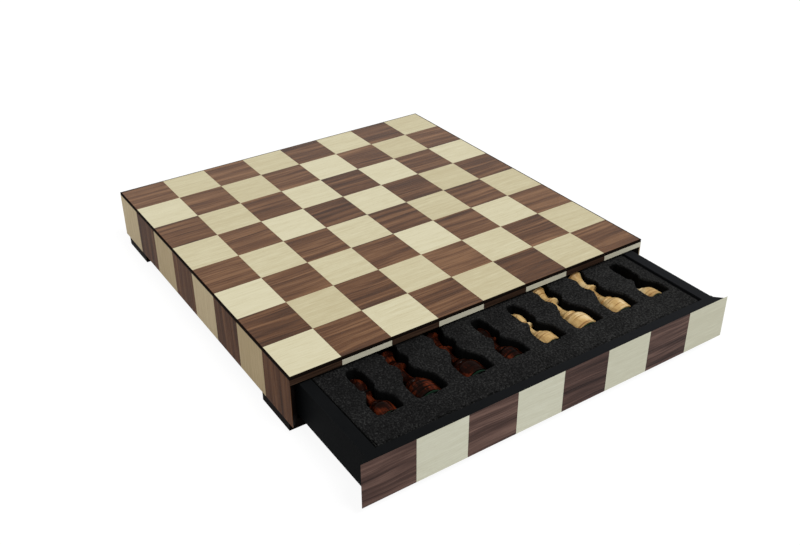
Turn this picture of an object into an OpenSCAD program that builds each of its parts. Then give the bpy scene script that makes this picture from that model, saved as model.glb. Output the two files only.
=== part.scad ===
// Chess box: a veneered playing board on a shallow carcass, with one full-depth
// drawer in which the men lie in a cut foam tray.
// x runs along the front, y from the front to the back, z is up. The origin is on
// the surface that the box stands on, midway between the drawer's face and the back
// of the box, with the drawer standing open by drawer_open.

/* [Board] */
// Width of one square of the board, and of one stripe on the sides
square_w = 47.5; // [46:0.5:56]
// Thickness of the walnut and maple veneer
veneer_t = 0.6; // [0.4:0.1:1.2]
// Glue line between neighbouring pieces of veneer
veneer_joint = 0.1; // [0.05:0.05:0.3]
// Thickness of the black-edged board under its veneer
board_core_t = 2.2; // [2:0.1:6]

/* [Carcass] */
// Height from the underside of the sides to the playing surface
carcass_h = 50; // [49.5:0.5:70]
// Thickness of the side panels, the back panel and the front rail
panel_t = 8; // [7:0.5:14]
// Thickness of the panel under the board
sub_top_t = 7; // [6:0.5:8.5]
// Thickness of the bottom panel
bottom_t = 4; // [3:0.1:4.3]
// Depth of the rebates that carry the bottom panel
bottom_rebate = 3; // [2:0.5:5]
// Bevel under the front rail, which the top of the drawer front follows
rail_bevel = 2; // [1:0.1:5]

/* [Feet] */
// Height of the feet
foot_h = 9; // [6:0.5:20]
// Width of a foot along the front
foot_w = 47.5; // [30:0.5:60]
// Length of a foot from front to back
foot_l = 47.5; // [30:0.5:60]
// Distance of a foot from the side of the box
foot_side_inset = 0.5; // [0:0.5:10]
// Distance of a foot from the front or the back of the box
foot_end_inset = 8; // [0:0.5:15]

/* [Drawer] */
// How far the drawer stands open
drawer_open = 104; // [0:1:300]
// How far the drawer front reaches in behind its mitred ends
front_lap = 3; // [2:0.5:6]
// Thickness of the drawer's sides and back
drawer_wall = 10.5; // [9.5:0.5:14]
// Thickness of the drawer's bottom
drawer_bottom_t = 3; // [2:0.1:3.6]
// Depth of the rebates that carry the drawer's bottom
drawer_rebate = 3; // [2:0.5:3.5]
// Gap between the drawer's mitred or bevelled edges and the carcass
mitre_gap = 0.5; // [0.3:0.1:1]
// Gap on each side of the drawer
side_gap = 1; // [0.5:0.1:2]
// Gap under the drawer
run_gap = 0.3; // [0.2:0.1:0.6]
// Gap over the drawer's sides
lid_gap = 0.7; // [0.4:0.1:1.5]
// Gap behind the closed drawer
back_gap = 1; // [0.5:0.5:4]

/* [Stop] */
// Width of the stopped groove in the underside of each drawer side
groove_w = 3.8; // [3.4:0.1:4.2]
// Depth of the stopped groove
groove_h = 6; // [5:0.5:8]
// Wood left behind each stopped groove
groove_end = 15; // [8:1:60]
// Height of a stop screw's tip above the bottom panel
stop_rise = 4.5; // [3:0.5:4.8]
// Distance of a stop screw from the front of its foot
stop_inset = 8; // [6:1:20]

/* [Fasteners] */
// Shank diameter of the screws
screw_d = 3; // [2.5:0.1:3.2]
// Head diameter of the screws
screw_head_d = 6; // [5:0.1:7]
// Height of the countersunk heads
screw_head_h = 1.8; // [1.4:0.1:2.4]
// Length of a foot screw
foot_screw_l = 11; // [8:0.5:12]
// Diameter of the dowels
dowel_d = 5; // [4:0.5:6]
// Length of the dowels
dowel_l = 20; // [16:1:30]
// How far a dowel goes into the panel that it meets face on
dowel_depth = 5; // [3:0.5:6.5]
// Play round a screw or a dowel in its hole
hole_play = 0.1; // [0.05:0.05:0.2]

/* [Foam tray] */
// Gap between the foam and the drawer's walls
foam_gap = 1.5; // [0.5:0.5:3]
// Depth of the foam's surface below the top of the drawer's sides
foam_drop = 0.6; // [0:0.1:0.9]
// Gap between a man and the sides of its pocket
pocket_gap = 1.6; // [0.8:0.1:2.5]
// Gap between a man and the floor of its pocket
floor_gap = 0.3; // [0.1:0.1:0.5]
// Foam in front of the first row of pockets
front_margin = 28; // [15:0.5:35]
// Foam between one row of pockets and the next
row_gap = 20; // [10:0.5:24]
// Foam from the left edge to the middle of the first column
left_margin = 31; // [20:0.5:34]
// Foam from the middle of the last column to the right edge
right_margin = 18.5; // [18:0.5:34]
// Depth of the thickest man below the foam's surface
man_sink = 0.4; // [0.2:0.1:1]

/* [Men] */
// Height of the king
king_h = 77.5; // [65:0.5:82]
// Base of the king
king_d = 27; // [22:0.5:27]
// Height of the queen
queen_h = 71.5; // [60:0.5:78]
// Base of the queen
queen_d = 26; // [21:0.5:26.5]
// Height of a bishop
bishop_h = 57; // [42:0.5:60]
// Base of a bishop
bishop_d = 21.5; // [18:0.5:24]
// Height of a knight
knight_h = 50; // [42:0.5:60]
// Base of a knight
knight_d = 21.5; // [18:0.5:24]
// Height of a rook
rook_h = 42; // [36:0.5:52]
// Base of a rook
rook_d = 21.5; // [18:0.5:24]
// Height of a pawn
pawn_h = 38; // [32:0.5:46]
// Base of a pawn
pawn_d = 19; // [16:0.5:22]
// Thickness of the felt under each man
felt_t = 1; // [0.5:0.1:1.5]
// Width of the wood left round the felt
felt_rim = 0.8; // [0.4:0.1:1.5]

/* [Hidden] */

$fn = 48;
eps = 0.01;
squares = 8;

WALNUT = "#5a4038";
MAPLE = "#dcd3b4";
BLACK = "#1c1c1e";
FOAM = "#2c2d2e";
STAINED = "#6b2a17";
BOXWOOD = "#d9ad72";
FELT = "#1d4a33";
STEEL = "#b8bcc0";

// The carcass, with its middle line as the origin of x and y
board_w = squares * square_w;
half_w = board_w / 2;
inner_w = half_w - panel_t;
top_z = foot_h + carcass_h;
veneer_z = top_z - veneer_t;
board_z = veneer_z - board_core_t;
sub_top_z = board_z - sub_top_t;
bottom_z = foot_h + bottom_t;

// The drawer, in the same place as the carcass when it is closed
front_t = panel_t + front_lap;
front_top_z = sub_top_z - mitre_gap;
drawer_half_w = inner_w - side_gap;
drawer_z = bottom_z + run_gap;
drawer_top_z = sub_top_z - lid_gap;
drawer_front_y = front_t - half_w;
drawer_back_y = inner_w - back_gap;
tray_half_w = drawer_half_w - drawer_wall;
tray_z = drawer_z + drawer_bottom_t;

// Screws and dowels
screw_point = screw_d / 2;
foot_x = half_w - foot_side_inset - foot_w / 2;
foot_y = half_w - foot_end_inset - foot_l / 2;
foot_screw_step = foot_w / 4;
groove_x = drawer_half_w - (drawer_wall - drawer_rebate) / 2;
stop_y = foot_end_inset + stop_inset - half_w;
stop_head_z = foot_h / 4;
stop_screw_l = bottom_z + stop_rise - stop_head_z;
dowel_rise = drawer_top_z - drawer_z;

// The foam tray and its pockets, in rows from the front and columns from the left
foam_half_w = tray_half_w - foam_gap;
foam_front_y = drawer_front_y + foam_gap;
foam_back_y = drawer_back_y - drawer_wall - foam_gap;
foam_top_z = drawer_top_z - foam_drop;
column_step = (2 * foam_half_w - left_margin - right_margin) / (squares - 1);
// How far the hand-cut columns stray from an even spacing
column_stray = [0, -2, 2.5, 1, -1, -2.5, -1.5, -1.5];
// How much deeper a man lies for each millimetre that its base is narrower
sink_slope = 0.33;
row_kinds = [
  ["bishop", "king", "queen", "bishop"],
  ["rook", "knight", "knight", "rook"],
  ["pawn", "pawn", "pawn", "pawn"],
  ["pawn", "pawn", "pawn", "pawn"]
];
half_columns = squares / 2;

function man_h(kind) =
  kind == "king" ? king_h : kind == "queen" ? queen_h : kind == "bishop" ? bishop_h :
  kind == "knight" ? knight_h : kind == "rook" ? rook_h : pawn_h;
function man_d(kind) =
  kind == "king" ? king_d : kind == "queen" ? queen_d : kind == "bishop" ? bishop_d :
  kind == "knight" ? knight_d : kind == "rook" ? rook_d : pawn_d;
function tallest(row) = max([for (kind = row_kinds[row]) man_h(kind)]);
function row_y(row) =
  row == 0 ? foam_front_y + front_margin + pocket_gap :
  row_y(row - 1) + tallest(row - 1) + row_gap + 2 * pocket_gap;
function column_x(column) =
  left_margin - foam_half_w + column * column_step + column_stray[column];
function kind_at(row, column) = row_kinds[row][column % half_columns];
function shade_at(column) = column < half_columns ? "dark" : "light";
// Where the foam strip round a row begins, and where the last one ends
function strip_y(row) =
  row == 0 ? foam_front_y :
  row == len(row_kinds) ? foam_back_y : row_y(row) - pocket_gap - row_gap / 2;
// Where the two halves of a foam strip meet
foam_seam_x = (column_x(half_columns - 1) + column_x(half_columns)) / 2;
function man_z(kind) =
  foam_top_z - man_sink - sink_slope * (king_d - man_d(kind)) - man_d(kind) / 2;

// Outlines of the men, from the axis outwards. Each point is a share of the height, a
// share of the base's radius, and the bow of the line to the next point: more than 0
// swells outwards, less than 0 is hollow.
foot_turning = [[0, 1, 0], [0.03, 1, 0.1], [0.04, 0.97, 0], [0.046, 0.985, 0.03]];
king_turning = concat(foot_turning, [
  [0.16, 1, 0.16], [0.26, 0.78, 0], [0.266, 0.64, 0], [0.284, 0.62, 0],
  [0.292, 0.66, 0.4], [0.33, 0.6, 0], [0.34, 0.52, -0.12], [0.46, 0.32, -0.03],
  [0.58, 0.34, 0], [0.588, 0.44, 0], [0.597, 0.6, 0.45], [0.632, 0.56, 0],
  [0.642, 0.42, 0], [0.652, 0.47, 0.4], [0.672, 0.42, 0], [0.683, 0.35, -0.1],
  [0.725, 0.33, -0.1], [0.86, 0.62, 0.2], [0.876, 0.57, 0], [0.884, 0.5, 0.2],
  [0.905, 0.16, 0], [0.905, 0, 0]
]);
queen_turning = concat(foot_turning, [
  [0.165, 1, 0.16], [0.262, 0.78, 0], [0.268, 0.64, 0], [0.286, 0.62, 0],
  [0.294, 0.66, 0.4], [0.335, 0.6, 0], [0.345, 0.52, -0.12], [0.47, 0.31, -0.03],
  [0.585, 0.33, 0], [0.593, 0.43, 0], [0.602, 0.59, 0.45], [0.637, 0.54, 0],
  [0.647, 0.42, 0], [0.657, 0.46, 0.4], [0.678, 0.4, 0], [0.69, 0.34, -0.08],
  [0.74, 0.32, -0.14], [0.93, 0.66, 0], [0.945, 0.64, 0], [0.93, 0.46, 0.15],
  [0.955, 0.12, 0.5], [0.985, 0.13, 0.4], [1, 0, 0]
]);
bishop_turning = concat(foot_turning, [
  [0.17, 1, 0.14], [0.272, 0.8, 0], [0.279, 0.62, 0], [0.3, 0.6, 0], [0.308, 0.63, 0.4],
  [0.342, 0.56, 0], [0.352, 0.48, -0.14], [0.46, 0.3, -0.03], [0.54, 0.31, 0],
  [0.557, 0.42, 0], [0.568, 0.58, 0.45], [0.61, 0.54, 0], [0.625, 0.4, -0.1],
  [0.655, 0.38, 0], [0.67, 0.44, 0.12], [0.8, 0.58, 0.1], [0.91, 0.42, 0.16],
  [0.955, 0.19, 0], [0.962, 0.16, 0.5], [0.985, 0.15, 0.4], [1, 0, 0]
]);
pawn_turning = concat(foot_turning, [
  [0.17, 1, 0.16], [0.3, 0.76, 0], [0.308, 0.62, 0], [0.33, 0.6, 0], [0.34, 0.64, 0.4],
  [0.385, 0.56, 0], [0.4, 0.48, -0.14], [0.6, 0.33, 0], [0.622, 0.54, 0.4],
  [0.665, 0.5, 0], [0.68, 0.36, 0], [0.7, 0.36, 0.3], [0.84, 0.6, 0.4], [1, 0, 0]
]);
rook_turning = concat(foot_turning, [
  [0.17, 1, 0.16], [0.3, 0.8, 0], [0.308, 0.68, 0], [0.33, 0.66, 0], [0.34, 0.7, 0.4],
  [0.385, 0.64, 0], [0.4, 0.56, -0.1], [0.7, 0.45, -0.1], [0.735, 0.6, 0],
  [0.75, 0.64, 0.4], [0.785, 0.6, 0], [0.8, 0.58, -0.12], [0.87, 0.7, 0], [1, 0.72, 0],
  [1, 0.5, 0], [0.9, 0.48, 0], [0.9, 0, 0]
]);
knight_turning = concat(foot_turning, [
  [0.15, 1, 0.16], [0.25, 0.8, 0], [0.256, 0.66, 0], [0.272, 0.64, 0],
  [0.28, 0.68, 0.4], [0.31, 0.62, 0], [0.34, 0.6, 0], [0.34, 0, 0]
]);
function turning(kind) =
  kind == "king" ? king_turning : kind == "queen" ? queen_turning :
  kind == "bishop" ? bishop_turning : kind == "knight" ? knight_turning :
  kind == "rook" ? rook_turning : pawn_turning;

// The horse's head seen from its left: a share of the base's radius towards the nose, a
// share of the height, and the bow of the line to the next point
horse_head = [
  [0.56, 0.32, -0.12], [0.38, 0.52, 0.1], [0.5, 0.6, -0.08], [0.84, 0.565, 0.3],
  [0.98, 0.66, 0.1], [0.86, 0.745, -0.05], [0.5, 0.86, 0.05], [0.3, 0.92, 0],
  [0.26, 1, -0.1], [0.06, 0.93, 0.12], [-0.46, 0.78, 0.14], [-0.66, 0.54, -0.06],
  [-0.56, 0.32, 0]
];
horse_neck_t = 0.95;
horse_muzzle_t = 0.62;
horse_muzzle_x = 0.42;

// Half outlines of the pockets, waisted where a man is slimmest: a share of the man's
// height, and of its base's radius
tall_pocket = [[0, 1], [0.24, 0.98], [0.46, 0.55], [1, 0.68]];
bishop_pocket = [[0, 1], [0.25, 0.98], [0.5, 0.55], [1, 0.62]];
knight_pocket = [[0, 1], [0.2, 1], [0.4, 0.86], [1, 1.04]];
rook_pocket = [[0, 1], [0.22, 1], [0.5, 0.68], [1, 0.78]];
pawn_pocket = [[0, 1], [0.22, 1], [0.5, 0.6], [1, 0.66]];
function pocket_outline(kind) =
  kind == "bishop" ? bishop_pocket : kind == "knight" ? knight_pocket :
  kind == "rook" ? rook_pocket : kind == "pawn" ? pawn_pocket : tall_pocket;

arc_steps = 5;

// Points from a towards b along a bowed line, without b
function bowed(a, b, bow) =
  let (
    span = b - a,
    mid = (a + b) / 2 + bow * [span[1], -span[0]],
    steps = bow == 0 ? 1 : arc_steps
  )
  [for (i = [0:steps - 1]) let (t = i / steps) (1 - t) ^ 2 * a + 2 * t * (1 - t) * mid + t ^ 2 * b];

// A list of [share, share, bow] as points in millimetres
function outline(points, x_size, y_size, x_at, y_at) =
  let (sized = [for (p = points) [p[x_at] * x_size, p[y_at] * y_size]])
  [for (i = [0:len(points) - 1], q = bowed(sized[i], sized[(i + 1) % len(points)],
    i == len(points) - 1 ? 0 : points[i][2])) q];

module block(low, high) {
  translate(low) cube(high - low);
}

// Turns a piece made along the front to another side of the box
module on_side(side) {
  turn = side == "front" ? 0 : side == "right" ? 90 : side == "back" ? 180 : -90;
  rotate([0, 0, turn]) translate([0, -half_w, 0]) children();
}

// A board on edge between two depths from its outer face, with ends mitred in plan
module mitred(from, to, low_z, high_z) {
  translate([0, 0, low_z])
    linear_extrude(high_z - low_z)
      polygon([
        [from - half_w, from], [half_w - from, from],
        [half_w - to, to], [to - half_w, to]
      ]);
}

// Every second stripe along a side, from the first one that is named
module stripes(first, low_z, high_z) {
  for (i = [first:2:squares - 1])
    block(
      [i * square_w - half_w + veneer_joint / 2, 0, low_z],
      [(i + 1) * square_w - half_w - veneer_joint / 2, veneer_t, high_z]
    );
}

module striped_veneer(side, first, low_z, high_z) {
  on_side(side)
    intersection() {
      mitred(0, veneer_t, low_z, high_z);
      stripes(first, low_z, high_z);
    }
}

module drilled(d, length) {
  cylinder(d = d + 2 * hole_play, h = length);
}

// A countersunk screw that points down from its head's face
module screw(length) {
  difference() {
    union() {
      translate([0, 0, -screw_head_h])
        cylinder(d1 = screw_d, d2 = screw_head_d, h = screw_head_h);
      translate([0, 0, screw_point - length])
        cylinder(d = screw_d, h = length - screw_point - screw_head_h);
      translate([0, 0, -length])
        cylinder(d1 = screw_d / 4, d2 = screw_d, h = screw_point);
    }
    for (turn = [0, 90])
      rotate([0, 0, turn])
        block([-screw_head_d / 4, -0.4, -1], [screw_head_d / 4, 0.4, 1]);
  }
}

// The hole for such a screw, with play all round
module screw_hole(length) {
  translate([0, 0, -screw_head_h])
    cylinder(d1 = screw_d + 2 * hole_play, d2 = screw_head_d + 2 * hole_play, h = screw_head_h + eps);
  translate([0, 0, -length - hole_play]) drilled(screw_d, length);
}

// Places in the carcass and the drawer --------------------------------------------

module in_carcass() {
  translate([0, drawer_open / 2, 0]) children();
}

module in_drawer() {
  translate([0, -drawer_open / 2, 0]) children();
}

module at_foot_screws() {
  for (sx = [-1, 1], sy = [-1, 1], step = [-0.5, 0.5])
    translate([
      sx * (foot_x - foot_screw_step / 2 + step * foot_screw_step),
      sy * (foot_y + step * foot_screw_step), bottom_z
    ]) children();
}

module at_stop_screws() {
  for (sx = [-1, 1])
    translate([sx * groove_x, stop_y, stop_head_z]) rotate([180, 0, 0]) children();
}

// The dowels between the side panels and the panel under the board
module at_carcass_dowels() {
  for (sx = [-1, 1], row = [-1, 0, 1])
    translate([sx * (inner_w + dowel_depth), row * inner_w * 3 / 4, sub_top_z + sub_top_t / 2])
      rotate([0, -sx * 90, 0]) children();
}

// The dowels of the drawer's four corners
module at_drawer_dowels() {
  for (sx = [-1, 1], share = [0.3, 0.75]) {
    translate([
      sx * (drawer_half_w - drawer_wall / 2), drawer_front_y - dowel_depth,
      drawer_z + share * dowel_rise
    ]) rotate([-90, 0, 0]) children();
    translate([
      sx * (tray_half_w + dowel_depth), drawer_back_y - drawer_wall / 2,
      drawer_z + share * dowel_rise
    ]) rotate([0, -sx * 90, 0]) children();
  }
}

module dowel() {
  cylinder(d = dowel_d, h = dowel_l);
}

module dowel_hole() {
  translate([0, 0, -hole_play]) drilled(dowel_d, dowel_l + 2 * hole_play);
}

// The carcass -----------------------------------------------------------------------

module board_panel() {
  color(BLACK) in_carcass()
    block([-half_w, -half_w, board_z], [half_w, half_w, veneer_z]);
}

module board_squares(parity) {
  in_carcass()
    for (i = [0:squares - 1], j = [0:squares - 1])
      if ((i + j) % 2 == parity)
        translate([i * square_w - half_w, j * square_w - half_w, veneer_z])
          block(
            [veneer_joint / 2, veneer_joint / 2, 0],
            [square_w - veneer_joint / 2, square_w - veneer_joint / 2, veneer_t]
          );
}

module board_walnut_squares() {
  color(WALNUT) board_squares(1);
}

module board_maple_squares() {
  color(MAPLE) board_squares(0);
}

module sub_top() {
  color(BLACK) in_carcass() difference() {
    block([-inner_w, -inner_w, sub_top_z], [inner_w, inner_w, board_z]);
    at_carcass_dowels() dowel_hole();
  }
}

module front_rail() {
  color(BLACK) in_carcass() on_side("front") difference() {
    mitred(veneer_t, panel_t, sub_top_z, board_z);
    rail_bevel_cut();
  }
}

// The wedge that the bevel takes off the rail's lower edge
module rail_bevel_cut() {
  rotate([90, 0, 90])
    linear_extrude(board_w, center = true)
      polygon([
        [-eps, sub_top_z - eps], [rail_bevel + eps, sub_top_z - eps],
        [-eps, sub_top_z + rail_bevel + eps]
      ]);
}

module rail_strips(first) {
  in_carcass() difference() {
    striped_veneer("front", first, sub_top_z, board_z);
    on_side("front") rail_bevel_cut();
  }
}

module rail_walnut_strips() {
  color(WALNUT) rail_strips(0);
}

module rail_maple_strips() {
  color(MAPLE) rail_strips(1);
}

// A side or back panel under its veneer, cut for the bottom panel and the dowels
module wall_panel(side) {
  color(BLACK) in_carcass() difference() {
    on_side(side) mitred(veneer_t, panel_t, foot_h, board_z);
    bottom_outline(eps);
    at_carcass_dowels() dowel_hole();
  }
}

module bottom_outline(extra) {
  reach = inner_w + bottom_rebate;
  block(
    [-reach, mitre_gap + front_t - half_w - extra, foot_h - extra],
    [reach, reach, bottom_z]
  );
}

module left_side_panel() {
  wall_panel("left");
}

module right_side_panel() {
  wall_panel("right");
}

module back_panel() {
  wall_panel("back");
}

module wall_veneer(side, first) {
  in_carcass() striped_veneer(side, first, foot_h, board_z);
}

module left_walnut_veneer() {
  color(WALNUT) wall_veneer("left", 1);
}

module left_maple_veneer() {
  color(MAPLE) wall_veneer("left", 0);
}

module right_walnut_veneer() {
  color(WALNUT) wall_veneer("right", 1);
}

module right_maple_veneer() {
  color(MAPLE) wall_veneer("right", 0);
}

module back_walnut_veneer() {
  color(WALNUT) wall_veneer("back", 0);
}

module back_maple_veneer() {
  color(MAPLE) wall_veneer("back", 1);
}

module bottom_panel() {
  color(BLACK) in_carcass() difference() {
    bottom_outline(0);
    at_foot_screws() screw_hole(foot_screw_l);
    at_stop_screws() screw_hole(stop_screw_l);
  }
}

module carcass_dowels() {
  color(BOXWOOD) in_carcass() at_carcass_dowels() dowel();
}

// One foot, with its screw holes
module foot(sx, sy) {
  color(BLACK) in_carcass() difference() {
    translate([sx * foot_x, sy * foot_y, foot_h / 2]) cube([foot_w, foot_l, foot_h], center = true);
    at_foot_screws() screw_hole(foot_screw_l);
    at_stop_screws() screw_hole(stop_screw_l);
    at_stop_screws() cylinder(d = screw_head_d + 2 * hole_play, h = foot_h);
  }
}

module front_left_foot() {
  foot(-1, -1);
}

module front_right_foot() {
  foot(1, -1);
}

module back_left_foot() {
  foot(-1, 1);
}

module back_right_foot() {
  foot(1, 1);
}

module foot_screws() {
  color(STEEL) in_carcass() at_foot_screws() screw(foot_screw_l);
}

// The tips of these two screws stand in the grooves under the drawer's sides
module stop_screws() {
  color(STEEL) in_carcass() at_stop_screws() screw(stop_screw_l);
}

// The drawer ------------------------------------------------------------------------

// The drawer front with its veneer: mitred ends, and a top that follows the rail
module front_outline() {
  mitre = panel_t + mitre_gap;
  face_top_z = front_top_z + rail_bevel;
  intersection() {
    translate([0, 0, foot_h])
      linear_extrude(carcass_h)
        polygon([
          [-half_w, 0], [half_w, 0], [half_w - mitre, mitre],
          [half_w - mitre, front_t], [mitre - half_w, front_t], [mitre - half_w, mitre]
        ]);
    rotate([90, 0, 90])
      linear_extrude(board_w, center = true)
        polygon([
          [0, foot_h], [front_t, foot_h], [front_t, front_top_z],
          [rail_bevel, front_top_z], [0, face_top_z]
        ]);
  }
}

module drawer_front() {
  color(BLACK) in_drawer() difference() {
    on_side("front") difference() {
      front_outline();
      block([-half_w - 1, -1, 0], [half_w + 1, veneer_t, top_z]);
    }
    at_drawer_dowels() dowel_hole();
  }
}

module front_strips(first) {
  in_drawer() on_side("front") intersection() {
    front_outline();
    stripes(first, foot_h, top_z);
  }
}

module front_walnut_veneer() {
  color(WALNUT) front_strips(0);
}

module front_maple_veneer() {
  color(MAPLE) front_strips(1);
}

module drawer_side(sx) {
  color(BLACK) in_drawer() difference() {
    translate([sx * (drawer_half_w + tray_half_w) / 2, 0, 0])
      block(
        [-drawer_wall / 2, drawer_front_y, drawer_z],
        [drawer_wall / 2, drawer_back_y, drawer_top_z]
      );
    bottom_board(eps);
    stop_groove(sx);
    at_drawer_dowels() dowel_hole();
  }
}

// The stop screw's tip runs in this groove and meets its back end when the drawer is out
module stop_groove(sx) {
  translate([sx * groove_x, 0, 0])
    block(
      [-groove_w / 2, stop_y - groove_w, drawer_z - eps],
      [groove_w / 2, drawer_back_y - groove_end, drawer_z + groove_h]
    );
}

module bottom_board(extra) {
  reach = tray_half_w + drawer_rebate;
  block([-reach, drawer_front_y - extra, drawer_z - extra], [reach, drawer_back_y + extra, tray_z]);
}

module drawer_left_side() {
  drawer_side(-1);
}

module drawer_right_side() {
  drawer_side(1);
}

module drawer_back() {
  color(BLACK) in_drawer() difference() {
    block(
      [-tray_half_w, drawer_back_y - drawer_wall, tray_z],
      [tray_half_w, drawer_back_y, drawer_top_z]
    );
    at_drawer_dowels() dowel_hole();
  }
}

module drawer_bottom() {
  color(BLACK) in_drawer() bottom_board(0);
}

module drawer_dowels() {
  color(BOXWOOD) in_drawer() at_drawer_dowels() dowel();
}

// The foam tray and the men -----------------------------------------------------------

// Lays a man, or its pocket, on its side with its base towards the front
module laid_at(row, column) {
  translate([column_x(column), row_y(row), man_z(kind_at(row, column))])
    rotate([-90, 0, 0]) children();
}

module pocket(kind) {
  half = [for (p = pocket_outline(kind))
    [p[1] * man_d(kind) / 2 + pocket_gap, p[0] * (man_h(kind) + 2 * pocket_gap) - pocket_gap]];
  last = len(half) - 1;
  rotate([90, 0, 0])
    translate([0, 0, -man_d(kind) / 2 - floor_gap])
      linear_extrude(man_d(kind) + carcass_h)
        polygon(concat(half, [for (i = [0:last]) [-half[last - i][0], half[last - i][1]]]));
}

// The foam lies in strips that meet between the rows of men, the front two in halves
module foam_piece(row, first, last) {
  low_x = first == 0 ? -foam_half_w : foam_seam_x;
  high_x = last == squares - 1 ? foam_half_w : foam_seam_x;
  color(FOAM) in_drawer() difference() {
    block([low_x, strip_y(row), tray_z], [high_x, strip_y(row + 1), foam_top_z]);
    for (column = [first:last])
      laid_at(row, column) pocket(kind_at(row, column));
  }
}

module foam_left_half(row) {
  foam_piece(row, 0, half_columns - 1);
}

module foam_right_half(row) {
  foam_piece(row, half_columns, squares - 1);
}

module foam_strip(row) {
  foam_piece(row, 0, squares - 1);
}

module foam_front_left() {
  foam_left_half(0);
}

module foam_front_right() {
  foam_right_half(0);
}

module foam_second_left() {
  foam_left_half(1);
}

module foam_second_right() {
  foam_right_half(1);
}

module foam_third_strip() {
  foam_strip(2);
}

module foam_back_strip() {
  foam_strip(3);
}

// A man's turned wood, standing on its felt
module turned(kind) {
  wood_h = man_h(kind) - felt_t;
  translate([0, 0, felt_t])
    rotate_extrude()
      polygon(concat([[0, 0]], outline(turning(kind), man_d(kind) / 2, wood_h, 1, 0)));
}

module king() {
  wood_h = king_h - felt_t;
  cross_z = felt_t + 0.9 * wood_h;
  cross_h = 0.1 * wood_h;
  turned("king");
  translate([0, 0, cross_z])
    rotate([90, 0, 0])
      linear_extrude(0.3 * cross_h, center = true)
        polygon([
          [0.14 * cross_h, 0], [0.1 * cross_h, 0.42 * cross_h], [0.4 * cross_h, 0.36 * cross_h],
          [0.4 * cross_h, 0.76 * cross_h], [0.1 * cross_h, 0.7 * cross_h],
          [0.2 * cross_h, cross_h], [-0.2 * cross_h, cross_h], [-0.1 * cross_h, 0.7 * cross_h],
          [-0.4 * cross_h, 0.76 * cross_h], [-0.4 * cross_h, 0.36 * cross_h],
          [-0.1 * cross_h, 0.42 * cross_h], [-0.14 * cross_h, 0]
        ]);
}

// The queen's coronet has round notches in its rim
module queen() {
  notches = 9;
  rim_z = felt_t + 0.955 * (queen_h - felt_t);
  notch_d = 0.14 * queen_d;
  difference() {
    turned("queen");
    for (i = [0:notches - 1])
      rotate([0, 0, i * 360 / notches])
        translate([queen_d * 0.2, 0, rim_z])
          rotate([0, 90, 0])
            cylinder(d = notch_d, h = queen_d / 4);
  }
}

// The bishop's mitre has a slanting cut
module bishop() {
  cut_z = felt_t + 0.84 * (bishop_h - felt_t);
  difference() {
    turned("bishop");
    translate([bishop_d * 0.16, 0, cut_z])
      rotate([0, -50, 0])
        cube([bishop_d * 0.3, bishop_d, bishop_d * 0.045], center = true);
  }
}

// The rook's battlements are a cupped rim with slots across it
module rook() {
  slots = 3;
  slot_w = 0.13 * rook_d;
  slot_z = felt_t + 0.925 * (rook_h - felt_t);
  difference() {
    turned("rook");
    for (i = [0:slots - 1])
      rotate([0, 0, i * 180 / slots])
        block([-rook_d, -slot_w / 2, slot_z], [rook_d, slot_w / 2, rook_h + 1]);
  }
}

// A turned base with a carved horse's head, which is thinner at the muzzle
module knight() {
  radius = knight_d / 2;
  turned("knight");
  translate([0, 0, felt_t])
    rotate([90, 0, 0])
      difference() {
        linear_extrude(horse_neck_t * radius, center = true)
          polygon(outline(horse_head, radius, knight_h - felt_t, 0, 1));
        for (face = [-1, 1])
          translate([horse_muzzle_x * radius, 0, face * radius])
            block(
              [0, 0, -radius + horse_muzzle_t / 2 * radius],
              [2 * radius, 2 * knight_h, radius - horse_muzzle_t / 2 * radius]
            );
      }
}

module pawn() {
  turned("pawn");
}

module man(kind) {
  if (kind == "king") king();
  if (kind == "queen") queen();
  if (kind == "bishop") bishop();
  if (kind == "knight") knight();
  if (kind == "rook") rook();
  if (kind == "pawn") pawn();
}

module men(shade, kind) {
  color(shade == "dark" ? STAINED : BOXWOOD) in_drawer()
    for (row = [0:len(row_kinds) - 1], column = [0:squares - 1])
      if (kind_at(row, column) == kind && shade_at(column) == shade)
        laid_at(row, column) man(kind);
}

module base_felts() {
  color(FELT) in_drawer()
    for (row = [0:len(row_kinds) - 1], column = [0:squares - 1])
      laid_at(row, column)
        cylinder(d = man_d(kind_at(row, column)) - 2 * felt_rim, h = felt_t);
}

board_panel();
board_walnut_squares();
board_maple_squares();
sub_top();
front_rail();
rail_walnut_strips();
rail_maple_strips();
left_side_panel();
left_walnut_veneer();
left_maple_veneer();
right_side_panel();
right_walnut_veneer();
right_maple_veneer();
back_panel();
back_walnut_veneer();
back_maple_veneer();
bottom_panel();
carcass_dowels();
front_left_foot();
front_right_foot();
back_left_foot();
back_right_foot();
foot_screws();
stop_screws();
drawer_front();
front_walnut_veneer();
front_maple_veneer();
drawer_left_side();
drawer_right_side();
drawer_back();
drawer_bottom();
drawer_dowels();
foam_front_left();
foam_front_right();
foam_second_left();
foam_second_right();
foam_third_strip();
foam_back_strip();
men("dark", "king");  // dark_king
men("dark", "queen");  // dark_queen
men("dark", "bishop");  // dark_bishops
men("dark", "knight");  // dark_knights
men("dark", "rook");  // dark_rooks
men("dark", "pawn");  // dark_pawns
men("light", "king");  // light_king
men("light", "queen");  // light_queen
men("light", "bishop");  // light_bishops
men("light", "knight");  // light_knights
men("light", "rook");  // light_rooks
men("light", "pawn");  // light_pawns
base_felts();
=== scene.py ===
# %% [markdown]
# # A chess box with a drawer
# A shallow square box whose lid is a chessboard of walnut and maple veneer. The veneer's
# stripes run on down the sides, and a full-depth drawer holds the men in a sheet of cut
# foam. The frame gives every solid part in metres; this lesson gives each of them its
# finish, rounds the men and the foam, and lights the box on a pale floor.

# %% Open the frame
import math
import random

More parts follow.
